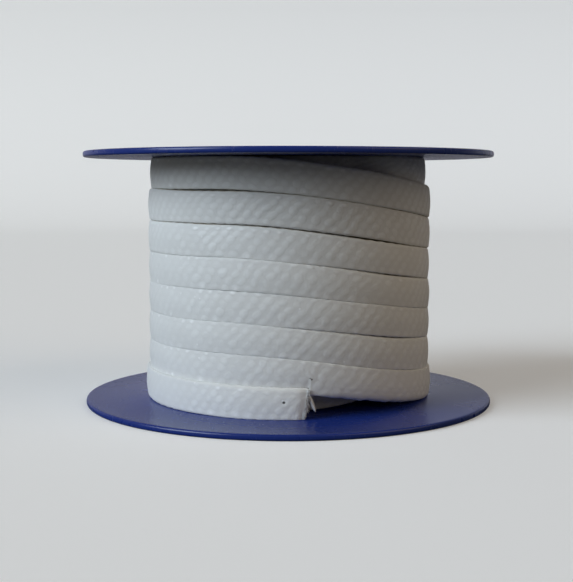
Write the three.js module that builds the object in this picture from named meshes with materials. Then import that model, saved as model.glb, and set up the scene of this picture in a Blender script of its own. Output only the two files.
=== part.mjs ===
import * as THREE from 'three';

// A reel of square braided gland packing: two thin flanges plugged into a core tube, and one long
// rope of packing wound on it in two layers. Millimetres, +Z up, origin at the middle of the lower
// flange's outer face. The front of the reel is -Y. Angles along the rope are degrees round the
// reel from the front, anticlockwise from above: the rope crosses from the inner layer to the
// outer one near angle 0, so the inner layer has negative angles and the outer layer positive.

// The rope
const packingSide = 12; // width and height of the square braid
const packingCorner = 2.4; // rounding of its long edges
const turnGap = 0.25; // clearance above and below each turn
const layerGap = 0.4; // clearance between the two layers
const turnsPerLayer = 8;
const cutEndAngle = 6; // where it ends, cut off, at the foot of the outer layer

// How a turn steps to the next level: most of it on one stretch, on the right of the front
const fallStart = -27;
const fallEnd = 93;
const fallDrift = 0.1; // share of the fall that is spread evenly round the turn
const riseStart = 15;
const riseEnd = 135;
const innerLap = 10; // how far past the rise the rope begins on the core, clear of the turn above

// The crossing from the inner layer to the outer one, squeezed under the upper flange
const crossStart = 34;
const crossEnd = 70;
const crossEdge = 3; // past this much of the crossing the rope lies over its neighbour
const crossLead = 32; // stretch on which the rope flattens before it, and fills out after it
const crossSpread = 3; // how much wider the flattened rope is
const entryRelief = 1.8; // how far the outer face lies in where the rope has just crossed

// The core tube
const coreDiameter = 66;
const coreWall = 3;
const coreClearance = 0.5; // between the tube and the rope
const coreSeatGap = 0.25; // between each tube end and its flange

// The flanges
const flangeDiameter = 168;
const flangeThickness = 2.4;
const flangeRimRadius = 0.9;
const boreDiameter = 22;
const spigotLength = 9;
const spigotWall = 2.4;
const spigotClearance = 0.3; // between a spigot and the tube round it
const spigotLeadIn = 0.8;

// Fineness of the facets
const flangeFacets = 72;
const innerStation = 15;
const crossStation = 5;
const outerStation = 10;
const cornerPoints = 3;
const rimSteps = 3;
const roundingLimit = 0.45; // largest share of a thickness that a rounding may take

const fullTurn = 360;
const turnPitch = packingSide + turnGap;
const topLevel = turnsPerLayer - 1;
const innerWidth = turnsPerLayer * turnPitch + turnGap; // between the flanges
const overallHeight = innerWidth + 2 * flangeThickness;
const innerLayerRadius = coreDiameter / 2 + coreClearance;
const layerPitch = packingSide + layerGap;
const smoothstep = THREE.MathUtils.smoothstep;

const plastic = new THREE.MeshStandardMaterial({ color: 0x232c66, roughness: 0.32, metalness: 0 });
const paperboard = new THREE.MeshStandardMaterial({ color: 0xa58a68, roughness: 0.9, metalness: 0 });
const braid = new THREE.MeshStandardMaterial({ color: 0xdfe0dd, roughness: 0.75, metalness: 0 });

// Number of the turn that an angle lies on, counted from the left of the reel, and the angle
// from the front on that turn, from -90 to 270.
function turnOf(angle) {
  const turn = Math.floor((angle + 90) / fullTurn);
  return { turn, local: angle - fullTurn * turn };
}

function riseShare(local) {
  return smoothstep(local, riseStart, riseEnd);
}

function fallShare(local) {
  return fallDrift * (local + 90) / fullTurn + (1 - fallDrift) * smoothstep(local, fallStart, fallEnd);
}

// Level of the rope in whole turns above the lower flange: it climbs on the inner layer, stays
// at the top while it crosses, and descends on the outer layer.
function levelAt(angle) {
  const { turn, local } = turnOf(angle);
  if (turn === 0) return topLevel;
  const level = turn < 0 ? topLevel + turn + riseShare(local) : topLevel + 1 - turn - fallShare(local);
  return THREE.MathUtils.clamp(level, 0, topLevel);
}

function bottomAt(angle) {
  return flangeThickness + turnGap + levelAt(angle) * turnPitch;
}

// Where the next turn of the outer layer lies below, its top edge with the clearance on it.
function floorBelow(angle) {
  return bottomAt(angle + fullTurn) + packingSide + turnGap;
}

// Height of the flattened rope: what the falling turn outside it and the rising turn inside it
// leave under the upper flange where it passes over both.
const crossHeight = turnPitch * Math.min(
  fallShare(crossStart + crossEdge),
  1 - riseShare(crossEnd - crossEdge),
) - turnGap;

const cutEnd = fullTurn * turnsPerLayer + cutEndAngle;
const ropeStart = -fullTurn * turnsPerLayer + riseEnd + innerLap;
const endRelief = Math.ceil(cutEndAngle / outerStation) * outerStation;

// Inner and outer radius, and lower and upper height, of the rope's section at an angle.
function sectionAt(angle) {
  const shift = smoothstep(angle, crossStart, crossEnd);
  const over = smoothstep(angle, crossStart, (crossStart + crossEnd) / 2)
    - smoothstep(angle, (crossStart + crossEnd) / 2, crossEnd);
  const entry = smoothstep(angle, crossEnd - crossLead, crossEnd)
    - smoothstep(angle, crossEnd + crossLead, crossEnd + 3 * crossLead);
  const squeeze = smoothstep(angle, crossStart + crossEdge - crossLead, crossStart + crossEdge)
    - smoothstep(angle, crossEnd - crossEdge, crossEnd - crossEdge + crossLead);
  const inside = innerLayerRadius + layerPitch * shift - crossSpread / 2 * over;
  const outside = innerLayerRadius + layerPitch * shift + packingSide
    + crossSpread / 2 * over - entryRelief * entry;
  const top = bottomAt(angle) + packingSide;
  let bottom = top - packingSide + (packingSide - crossHeight) * squeeze;
  const { turn, local } = turnOf(angle);
  if (turn === 0 && angle > crossEnd) bottom = Math.max(bottom, floorBelow(angle));
  if (turn === turnsPerLayer - 1 && local < endRelief + outerStation) {
    const rest = 1 - smoothstep(local, endRelief, endRelief + outerStation);
    const tailTop = flangeThickness + turnGap + packingSide + turnGap;
    bottom += Math.max(tailTop - bottom, 0) * rest;
  }
  return { inside, outside, bottom, top };
}

// Angles of the rope's stations, closer together where it crosses over.
function stations() {
  const crossingTo = crossEnd + crossLead;
  const angles = [];
  for (let angle = ropeStart; angle < 0; angle += innerStation) angles.push(angle);
  for (let angle = 0; angle < crossingTo; angle += crossStation) angles.push(angle);
  const first = Math.ceil(crossingTo / outerStation) * outerStation;
  for (let angle = first; angle < cutEnd; angle += outerStation) angles.push(angle);
  angles.push(cutEnd);
  return angles;
}

// A square of side 1 about the origin with rounded corners.
function roundedSquare(radius) {
  const corners = [[1, 1], [-1, 1], [-1, -1], [1, -1]];
  const points = [];
  corners.forEach(([right, up], index) => {
    for (let step = 0; step < cornerPoints; step += 1) {
      const turn = (index + step / (cornerPoints - 1)) * Math.PI / 2;
      points.push(new THREE.Vector2(
        right * (0.5 - radius) + radius * Math.cos(turn),
        up * (0.5 - radius) + radius * Math.sin(turn),
      ));
    }
  });
  return new THREE.Shape(points);
}

// The rope: a straight prism of one step for each pair of stations, bent onto its route. Across
// the section x runs inwards and y upwards; the station number along it becomes the angle.
function packingGeometry() {
  const angles = stations();
  const corner = Math.min(packingCorner / packingSide, roundingLimit);
  const geometry = new THREE.ExtrudeGeometry(roundedSquare(corner), {
    depth: angles.length - 1,
    steps: angles.length - 1,
    bevelEnabled: false,
  });
  const sections = angles.map(sectionAt);
  const position = geometry.attributes.position;
  for (let i = 0; i < position.count; i += 1) {
    const station = Math.round(position.getZ(i));
    const { inside, outside, bottom, top } = sections[station];
    const radius = THREE.MathUtils.lerp(outside, inside, 0.5 + position.getX(i));
    const height = THREE.MathUtils.lerp(bottom, top, 0.5 + position.getY(i));
    const around = THREE.MathUtils.degToRad(angles[station] - 90);
    position.setXYZ(i, radius * Math.cos(around), radius * Math.sin(around), height);
  }
  geometry.computeVertexNormals();
  return geometry;
}

// A solid of revolution about Z from a closed profile of [radius, height] points.
function turned(profile, facets) {
  const points = profile.map(([radius, height]) => new THREE.Vector2(radius, height));
  points.push(points[0].clone());
  return new THREE.LatheGeometry(points, facets).rotateX(Math.PI / 2);
}

// The flange's profile with its outer face at height 0 and its spigot up. The rim's outer edge
// is rounded at both faces, and the spigot's end has a lead-in.
function flangeProfile() {
  const rim = flangeDiameter / 2;
  const round = Math.min(flangeRimRadius, flangeThickness * roundingLimit);
  const spigotOuter = coreDiameter / 2 - coreWall - spigotClearance;
  const spigotInner = spigotOuter - spigotWall;
  const spigotTop = flangeThickness + spigotLength;
  const profile = [[boreDiameter / 2, 0]];
  for (let step = 0; step <= rimSteps; step += 1) {
    const turn = step / rimSteps * Math.PI / 2;
    profile.push([rim - round + round * Math.sin(turn), round - round * Math.cos(turn)]);
  }
  for (let step = 0; step <= rimSteps; step += 1) {
    const turn = step / rimSteps * Math.PI / 2;
    profile.push([rim - round + round * Math.cos(turn), flangeThickness - round + round * Math.sin(turn)]);
  }
  profile.push([spigotOuter, flangeThickness]);
  profile.push([spigotOuter, spigotTop - spigotLeadIn]);
  profile.push([spigotOuter - spigotLeadIn, spigotTop]);
  profile.push([spigotInner, spigotTop]);
  profile.push([spigotInner, flangeThickness]);
  profile.push([boreDiameter / 2, flangeThickness]);
  return profile;
}

function coreProfile() {
  const outer = coreDiameter / 2;
  const from = flangeThickness + coreSeatGap;
  const to = flangeThickness + innerWidth - coreSeatGap;
  return [[outer - coreWall, from], [outer, from], [outer, to], [outer - coreWall, to]];
}

function named(name, geometry, material) {
  const mesh = new THREE.Mesh(geometry, material);
  mesh.name = name;
  return mesh;
}

const reel = new THREE.Group();
reel.add(named('lower_flange', turned(flangeProfile(), flangeFacets), plastic));
reel.add(named('core_tube', turned(coreProfile(), flangeFacets), paperboard));
reel.add(named('packing', packingGeometry(), braid));

const upperFlange = named('upper_flange', turned(flangeProfile(), flangeFacets), plastic);
upperFlange.rotation.x = Math.PI;
upperFlange.position.z = overallHeight;
reel.add(upperFlange);

export default reel;
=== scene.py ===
"""A reel of square braided gland packing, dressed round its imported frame. All sizes are in metres.

The front of the reel is -Y. Angles along the rope are degrees round the reel from the front,
anticlockwise from above, counted through all its turns: below 0 the rope climbs on the core, at
30 to 54 it crosses over to the outer layer, and from there on it comes down again. A turn runs
from -90 to 270, and turns 1 to 8 of the outer layer are numbered from the top.
"""

import logging
import math
from dataclasses import dataclass
from enum import Enum
from typing import Any

import bpy
import numpy as np
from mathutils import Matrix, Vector


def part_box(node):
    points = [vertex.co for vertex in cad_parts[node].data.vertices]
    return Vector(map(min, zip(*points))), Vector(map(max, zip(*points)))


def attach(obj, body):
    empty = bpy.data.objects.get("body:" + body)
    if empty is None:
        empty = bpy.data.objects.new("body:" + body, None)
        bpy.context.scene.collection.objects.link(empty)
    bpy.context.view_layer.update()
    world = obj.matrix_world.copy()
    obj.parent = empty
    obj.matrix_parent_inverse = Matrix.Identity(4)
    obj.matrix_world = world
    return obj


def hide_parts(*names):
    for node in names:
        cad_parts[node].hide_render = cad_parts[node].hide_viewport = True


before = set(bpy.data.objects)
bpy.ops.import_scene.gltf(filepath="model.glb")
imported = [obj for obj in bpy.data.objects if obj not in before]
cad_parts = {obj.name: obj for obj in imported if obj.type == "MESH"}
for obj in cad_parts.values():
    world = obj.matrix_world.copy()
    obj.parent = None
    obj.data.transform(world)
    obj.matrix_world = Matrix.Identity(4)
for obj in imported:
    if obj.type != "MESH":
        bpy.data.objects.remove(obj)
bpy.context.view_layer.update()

log = logging.getLogger("reel")

Colour = tuple[float, float, float]
Point = tuple[float, float, float]
Run = tuple[float, float]
Pair = tuple[float, float]

MM = 0.001
FULL_TURN = 360.0
SIDES_ROUND = 4.0
UP = np.array([0.0, 0.0, 1.0])
LEVEL = np.array([1.0, 1.0, 0.0])
MIX_FACTOR, MIX_FIRST, MIX_SECOND, MIX_RESULT = 0, 6, 7, 2
HASH_STEP, HASH_SEED, HASH_GAIN = 12.9898, 78.233, 43758.5453
NOISE_SEED = 517.0


class Layer(Enum):
    """The two layers that the rope is wound in."""

    INNER = "packing_inner_layer"
    OUTER = "packing_outer_layer"


def ease(value: np.ndarray | float, low: float, high: float) -> np.ndarray:
    """Smooth step: 0 below low, 1 above high, and 3t^2 - 2t^3 of the share t between them.

    Args:
        value: Where the step is read.
        low: Where it starts to rise.
        high: Where it is complete.

    Returns:
        The step's height, from 0 to 1.
    """
    share = np.clip((value - low) / (high - low), 0.0, 1.0)
    return share * share * (3.0 - 2.0 * share)


def hump(value: np.ndarray, middle: float, reach: float) -> np.ndarray:
    """Smooth hump: 1 at the middle, falling to 0 at reach on both sides by a smooth step."""
    return 1.0 - ease(np.abs(value - middle), 0.0, reach)


def spell(value: np.ndarray, rise: Run, fall: Run) -> np.ndarray:
    """Smooth plateau: it rises from 0 to 1 over one run and falls back to 0 over a later one."""
    return ease(value, *rise) * (1.0 - ease(value, *fall))


def spot(radius: np.ndarray, degrees: np.ndarray, height: np.ndarray) -> np.ndarray:
    """Points at a radius, an angle from the front and a height."""
    turn = np.radians(degrees - 90.0)
    return np.stack([radius * np.cos(turn), radius * np.sin(turn), height], axis=-1)


def place_on_face(x: float, z: float, radius: float) -> Point:
    """The point of a round front face at a distance x to the right and a height z."""
    return (x, -math.sqrt(radius * radius - x * x), z)


def unit(rows: np.ndarray) -> np.ndarray:
    """Vectors of length 1 along the given ones."""
    return rows / np.linalg.norm(rows, axis=-1, keepdims=True)


def dimmed(colour: Colour, share: float) -> Colour:
    """A colour times a share."""
    return tuple(value * share for value in colour)


def closed_grid(columns: int, rows: int, ring: bool = False) -> np.ndarray:
    """Quads of a grid whose rows close on themselves, wound so that they face outwards.

    Args:
        columns: Number of stations along the surface.
        rows: Number of points round each station.
        ring: True if the last station joins the first one.

    Returns:
        An array of four vertex numbers for each quad.
    """
    stations = columns if ring else columns - 1
    station, point = np.meshgrid(np.arange(stations), np.arange(rows), indexing="ij")
    ahead, after = (station + 1) % columns, (point + 1) % rows
    corners = ((station, point), (ahead, point), (ahead, after), (station, after))
    return np.stack([column * rows + row for column, row in corners], axis=-1).reshape(-1, 4)


def make_piece(
    name: str, points: np.ndarray, quads: np.ndarray, fans: np.ndarray | None = None
) -> bpy.types.Object:
    """Puts arrays of points and faces into a new smooth-shaded object at the origin.

    Args:
        name: The piece's name.
        points: Vertices, one row of x, y and z each.
        quads: Faces of four vertex numbers.
        fans: Faces of three vertex numbers, if there are any.

    Returns:
        The new object.
    """
    fans = np.empty((0, 3), dtype=int) if fans is None else fans
    mesh = bpy.data.meshes.new(name)
    mesh.vertices.add(len(points))
    mesh.vertices.foreach_set("co", np.asarray(points, dtype=np.float32).ravel())
    corners = np.concatenate([quads.ravel(), fans.ravel()]).astype(np.int32)
    starts = np.concatenate([np.arange(len(quads)) * 4, quads.size + np.arange(len(fans)) * 3])
    mesh.loops.add(len(corners))
    mesh.loops.foreach_set("vertex_index", corners)
    mesh.polygons.add(len(starts))
    mesh.polygons.foreach_set("loop_start", starts.astype(np.int32))
    mesh.polygons.foreach_set("use_smooth", np.ones(len(starts), dtype=bool))
    mesh.update(calc_edges=True)
    mesh.validate()
    piece = bpy.data.objects.new(name, mesh)
    bpy.context.scene.collection.objects.link(piece)
    return piece


class Sock:
    """A shader socket that can be added, multiplied and so on, each operation as one Math node."""

    def __init__(self, shader: "Nodes", socket: bpy.types.NodeSocket) -> None:
        """Wraps one output socket of a tree's node."""
        self.shader = shader
        self.socket = socket

    def _with(self, operation: str, *values: Any) -> "Sock":
        """Adds a Math node on the given values."""
        return self.shader.node("ShaderNodeMath", {"operation": operation}, dict(enumerate(values)))

    def __add__(self, other: Any) -> "Sock":
        """Sum."""
        return self._with("ADD", self, other)

    def __sub__(self, other: Any) -> "Sock":
        """Difference."""
        return self._with("SUBTRACT", self, other)

    def __rsub__(self, other: Any) -> "Sock":
        """Difference with the number first."""
        return self._with("SUBTRACT", other, self)

    def __mul__(self, other: Any) -> "Sock":
        """Product."""
        return self._with("MULTIPLY", self, other)

    def __pow__(self, other: Any) -> "Sock":
        """Power."""
        return self._with("POWER", self, other)

    __radd__ = __add__
    __rmul__ = __mul__

    def cos(self) -> "Sock":
        """Cosine of an angle in radians."""
        return self._with("COSINE", self)

    def size(self) -> "Sock":
        """Absolute value."""
        return self._with("ABSOLUTE", self)

    def nearest(self) -> "Sock":
        """The nearest whole number."""
        return self._with("ROUND", self)

    def larger(self, other: Any) -> "Sock":
        """The larger of two values."""
        return self._with("MAXIMUM", self, other)

    def step(self, low: float, high: float) -> "Sock":
        """Smooth step from 0 at low to 1 at high."""
        inputs = {"Value": self, "From Min": low, "From Max": high}
        return self.shader.node("ShaderNodeMapRange", {"interpolation_type": "SMOOTHSTEP"}, inputs)


class Nodes:
    """A node tree to which nodes are added by one method."""

    def __init__(self, tree: bpy.types.NodeTree) -> None:
        """Wraps a node tree."""
        self.tree = tree

    def node(self, kind: str, settings: dict[str, Any], inputs: dict[Any, Any], output: Any = 0) -> Sock:
        """Adds a node.

        Args:
            kind: The node's type.
            settings: Its properties, set before its sockets.
            inputs: Values or links of its sockets, by name or number.
            output: Name or number of the output that is wanted.

        Returns:
            That output.
        """
        made = self.tree.nodes.new(kind)
        for key, value in settings.items():
            setattr(made, key, value)
        for key, value in inputs.items():
            if isinstance(value, Sock):
                self.tree.links.new(value.socket, made.inputs[key])
            else:
                made.inputs[key].default_value = value
        return Sock(self, made.outputs[output])

    def mix(self, factor: Sock | float, first: Sock | Colour, second: Sock | Colour) -> Sock:
        """Mixes two colours.

        Args:
            factor: Share of the second colour.
            first: Colour at a share of 0.
            second: Colour at a share of 1.

        Returns:
            The mixed colour.
        """
        ends = {MIX_FIRST: first, MIX_SECOND: second}
        colours = {key: (*value, 1.0) if isinstance(value, tuple) else value for key, value in ends.items()}
        return self.node("ShaderNodeMix", {"data_type": "RGBA"}, {MIX_FACTOR: factor, **colours}, MIX_RESULT)

    def ray(self, kind: str) -> Sock:
        """1 for rays of one kind, named as the Light Path node names it, and 0 for all others."""
        return self.node("ShaderNodeLightPath", {}, {}, kind)


@dataclass(frozen=True)
class Grain:
    """A noise texture: its scale, in waves for each unit of the place it reads, detail, roughness."""

    scale: float
    detail: float = 2.0
    roughness: float = 0.5


class Shader(Nodes):
    """A material's node tree, with its Principled shader ready."""

    def __init__(self, name: str, **constants: Any) -> None:
        """Starts a material.

        Args:
            name: The material's name.
            **constants: Values of the Principled shader's own sockets, with _ for a space.
        """
        self.material = bpy.data.materials.new(name)
        self.material.use_nodes = True
        super().__init__(self.material.node_tree)
        self.tree.nodes.clear()
        self.principled = self.tree.nodes.new("ShaderNodeBsdfPrincipled")
        output = self.tree.nodes.new("ShaderNodeOutputMaterial")
        self.tree.links.new(self.principled.outputs["BSDF"], output.inputs["Surface"])
        for key, value in constants.items():
            self.principled.inputs[key.replace("_", " ")].default_value = value

    def feed(self, socket: str, value: Sock) -> None:
        """Links a value to one of the Principled shader's sockets."""
        self.tree.links.new(value.socket, self.principled.inputs[socket])

    def place(self) -> Sock:
        """The point's own place, in metres."""
        return self.node("ShaderNodeTexCoord", {}, {}, "Object")

    def axis(self, vector: Sock, name: str) -> Sock:
        """One part of a vector: X, Y or Z."""
        return self.node("ShaderNodeSeparateXYZ", {}, {0: vector}, name)

    def vector(self, x: Sock, y: Sock) -> Sock:
        """The vector of x, y and 0."""
        return self.node("ShaderNodeCombineXYZ", {}, {0: x, 1: y, 2: 0.0})

    def vector_math(self, operation: str, *values: Any, output: str = "Vector") -> Sock:
        """Adds a Vector Math node on the given values."""
        return self.node("ShaderNodeVectorMath", {"operation": operation}, dict(enumerate(values)), output)

    def noise(self, vector: Sock, grain: Grain) -> Sock:
        """Noise between 0 and 1 on a place."""
        look = {"Scale": grain.scale, "Detail": grain.detail, "Roughness": grain.roughness}
        return self.node("ShaderNodeTexNoise", {}, {"Vector": vector, **look}, "Fac")

    def specks(self, vector: Sock, scale: float, sizes: Run) -> Sock:
        """Round specks at scattered points: 1 within the smaller size of a point, 0 beyond the larger."""
        inputs = {"Vector": vector, "Scale": scale, "Randomness": 1.0}
        return 1.0 - self.node("ShaderNodeTexVoronoi", {}, inputs, "Distance").step(*sizes)

    def bump(self, *layers: tuple[Sock, float]) -> None:
        """Feeds heights to the normal, one Bump node on the other.

        Args:
            *layers: Pairs of a height from 0 to 1 and its depth in metres.
        """
        normal = None
        for height, depth in layers:
            inputs: dict[Any, Any] = {"Height": height, "Distance": depth, "Strength": 1.0}
            if normal is not None:
                inputs["Normal"] = normal
            normal = self.node("ShaderNodeBump", {}, inputs)
        self.feed("Normal", normal)


@dataclass(frozen=True)
class PlasticFinish:
    """Moulded plastic of the flanges: dark blue with a satin gloss, fine scuffs and a little dust."""

    colour: Colour = (0.012, 0.031, 0.203)
    shade: float = 0.72
    dust: Colour = (0.20, 0.22, 0.31)
    refraction: float = 1.46
    roughness: float = 0.27
    scuffed: float = 0.42
    cloud: Grain = Grain(22.0, 4.0, 0.6)
    cloud_share: float = 0.35
    cloud_gloss: float = 0.10
    scuff: Grain = Grain(260.0, 6.0, 0.75)
    scuff_stretch: Point = (3.0, 1.0, 1.0)
    scuff_range: Run = (0.60, 0.74)
    scuff_dust: float = 0.05
    scuff_depth: float = 0.008 * MM
    speck_scale: float = 190.0
    speck_sizes: Run = (0.05, 0.13)
    speck_dust: float = 0.35
    patch: Grain = Grain(47.0, 2.0, 0.6)
    patch_range: Run = (0.56, 0.68)
    peel: Grain = Grain(420.0)
    peel_depth: float = 0.006 * MM

    def build(self) -> bpy.types.Material:
        """Makes the material.

        Returns:
            The new material.
        """
        shader = Shader("flange_plastic", Roughness=self.roughness, IOR=self.refraction)
        place = shader.place()
        cloud = shader.noise(place, self.cloud)
        streaky = shader.vector_math("MULTIPLY", place, self.scuff_stretch)
        scuffs = shader.noise(streaky, self.scuff).step(*self.scuff_range)
        specks = shader.specks(place, self.speck_scale, self.speck_sizes)
        sparse = shader.noise(place, self.patch).step(*self.patch_range)
        dusty = specks * sparse * self.speck_dust + scuffs * self.scuff_dust
        tone = shader.mix(cloud * self.cloud_share, self.colour, dimmed(self.colour, self.shade))
        shader.feed("Base Color", shader.mix(dusty, tone, self.dust))
        gloss = self.roughness + scuffs * (self.scuffed - self.roughness)
        shader.feed("Roughness", gloss + (cloud - 0.5) * self.cloud_gloss)
        shader.bump((shader.noise(place, self.peel), self.peel_depth), (scuffs, self.scuff_depth))
        return shader.material


@dataclass(frozen=True)
class BoardFinish:
    """Paperboard of the core tube: brown, in strips with fine level joints, with fibres."""

    colour: Colour = (0.36, 0.25, 0.15)
    fibre_shade: float = 0.7
    joint_shade: float = 0.45
    refraction: float = 1.45
    roughness: float = 0.88
    strip: float = 45.0 * MM
    joint_range: Run = (0.0, 0.06)
    joint_depth: float = 0.08 * MM
    fibre: Grain = Grain(900.0, 5.0, 0.7)
    fibre_stretch: Point = (1.0, 1.0, 4.0)
    fibre_depth: float = 0.03 * MM

    def build(self) -> bpy.types.Material:
        """Makes the material.

        Returns:
            The new material.
        """
        shader = Shader("core_paperboard", Roughness=self.roughness, IOR=self.refraction)
        place = shader.place()
        fibres = shader.noise(shader.vector_math("MULTIPLY", place, self.fibre_stretch), self.fibre)
        board = (shader.axis(place, "Z") * (math.pi / self.strip)).cos().size().step(*self.joint_range)
        tone = shader.mix(fibres, self.colour, dimmed(self.colour, self.fibre_shade))
        shader.feed("Base Color", shader.mix(board, dimmed(self.colour, self.joint_shade), tone))
        shader.bump((board, self.joint_depth), (fibres, self.fibre_depth))
        return shader.material


def rising(value: Any, low: float, high: float) -> Any:
    """Smooth step of an array or a socket, from 0 at low to 1 at high."""
    return value.step(low, high) if isinstance(value, Sock) else ease(value, low, high)


def nearest(value: Any) -> Any:
    """The nearest whole number of an array or a socket."""
    return value.nearest() if isinstance(value, Sock) else np.round(value)


def larger(first: Any, second: Any) -> Any:
    """The larger of two arrays, or of a socket and another value."""
    return first.larger(second) if isinstance(first, Sock) else np.maximum(first, second)


def chance(number: Any, seed: int) -> Any:
    """A share from 0 to 1 for each whole number.

    Arrays get the fraction of a large sine, and sockets get a white noise node.

    Args:
        number: Whole numbers, as an array or a socket.
        seed: Sets which shares they get.

    Returns:
        The shares, as an array or a socket.
    """
    if isinstance(number, Sock):
        place = {"W": number + seed * NOISE_SEED}
        return number.shader.node("ShaderNodeTexWhiteNoise", {"noise_dimensions": "1D"}, place, "Value")
    return np.abs(np.modf(np.sin(number * HASH_STEP + seed * HASH_SEED) * HASH_GAIN)[0])


@dataclass(frozen=True)
class Lobe:
    """One row of raised yarn loops on a face: where they lie across it, and how large they are.

    Lengths along the rope are shares of a stitch, and lengths across it are shares of a side.
    """

    middle: float
    half_length: float
    half_width: float
    lean: float
    phase: float
    rise: float


@dataclass(frozen=True)
class Braid:
    """The raised loops of the braid, shared by the mesh and its material.

    Along the rope u counts stitches; across it w counts sides, 0 at the middle of the outer
    face. Each loop is a low dome over an ellipse, (1 - x^2 - y^2) to a power, with its own
    share of the height and of the size, and the relief is the highest of the rows.
    """

    stitch: float = 5.0 * MM
    depth: float = 0.082 * MM
    face_phase: float = 0.37
    face_seed: float = 211.0
    softness: float = 0.8
    narrowing: float = 1.3
    size_luck: float = 0.5
    least_rise: float = 0.35
    rise_luck: float = 0.75
    upper_gain: float = 1.1
    upper_run: Run = (175.0, 235.0)
    rubbed_side: Run = (-52.0 * MM, -28.0 * MM)
    rubbed_share: float = 0.75
    rows: tuple[Lobe, ...] = (
        Lobe(-0.34, 0.36, 0.100, 0.5, 0.00, 0.90),
        Lobe(-0.16, 0.36, 0.118, 0.8, 0.42, 0.95),
        Lobe(0.03, 0.36, 0.122, 0.9, 0.86, 0.95),
        Lobe(0.20, 0.35, 0.108, 0.8, 0.30, 0.88),
        Lobe(0.36, 0.30, 0.075, 0.6, 0.62, 0.80),
    )

    def row(self, seed: int, u: Any, w: Any) -> Any:
        """Height of one row of loops.

        Args:
            seed: The row's number, which also sets how its loops vary.
            u: Stitches along the rope.
            w: Sides round it.

        Returns:
            The height, from 0 between the loops to about 1.
        """
        lobe = self.rows[seed]
        face = nearest(w)
        across = w - face - lobe.middle
        along = u - across * lobe.lean - (face * self.face_phase + lobe.phase)
        number = nearest(along)
        luck = chance(number + face * self.face_seed, seed)
        x = (along - number) * (1.0 / lobe.half_length)
        y = across * (1.0 / lobe.half_width)
        inside = 1.0 - (x * x + y * y) * (self.narrowing - luck * self.size_luck)
        return larger(inside, 0.0) ** self.softness * (luck * self.rise_luck + self.least_rise) * lobe.rise

    def gain(self, u: Any) -> Any:
        """How much higher the loops stand on the uppermost turns, which nothing has rubbed."""
        return 1.0 + self.upper_gain * (1.0 - rising(u, *self.upper_run))

    def worn(self, x: Any) -> Any:
        """Share of the height that is left at x, where the reel's left side is rubbed smooth."""
        return 1.0 - self.rubbed_share * (1.0 - rising(x, *self.rubbed_side))

    def height(self, u: Any, w: Any) -> Any:
        """Height of the braid.

        Args:
            u: Stitches along the rope.
            w: Sides round it.

        Returns:
            The height, from 0 between the loops to about 1 on the highest.
        """
        total = self.row(0, u, w)
        for seed in range(1, len(self.rows)):
            total = larger(total, self.row(seed, u, w))
        return total


@dataclass(frozen=True)
class Mark:
    """A small mark on the packing: a soft-edged ellipsoid in which the colour changes."""

    middle: Point
    reach: Point
    strength: float
    colour: Colour = (0.02, 0.018, 0.016)
    soft_edge: Run = (0.55, 1.0)

    def lay_on(self, tone: Sock, shader: Shader, place: Sock) -> Sock:
        """Lays the mark over a colour.

        Args:
            tone: The colour below it.
            shader: The material that it is added to.
            place: The point's own place.

        Returns:
            The colour with the mark on it.
        """
        offset = shader.vector_math("SUBTRACT", place, self.middle)
        scaled = shader.vector_math("MULTIPLY", offset, tuple(1.0 / value for value in self.reach))
        far = shader.vector_math("LENGTH", scaled, output="Value")
        return shader.mix((1.0 - far.step(*self.soft_edge)) * self.strength, tone, self.colour)


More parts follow.
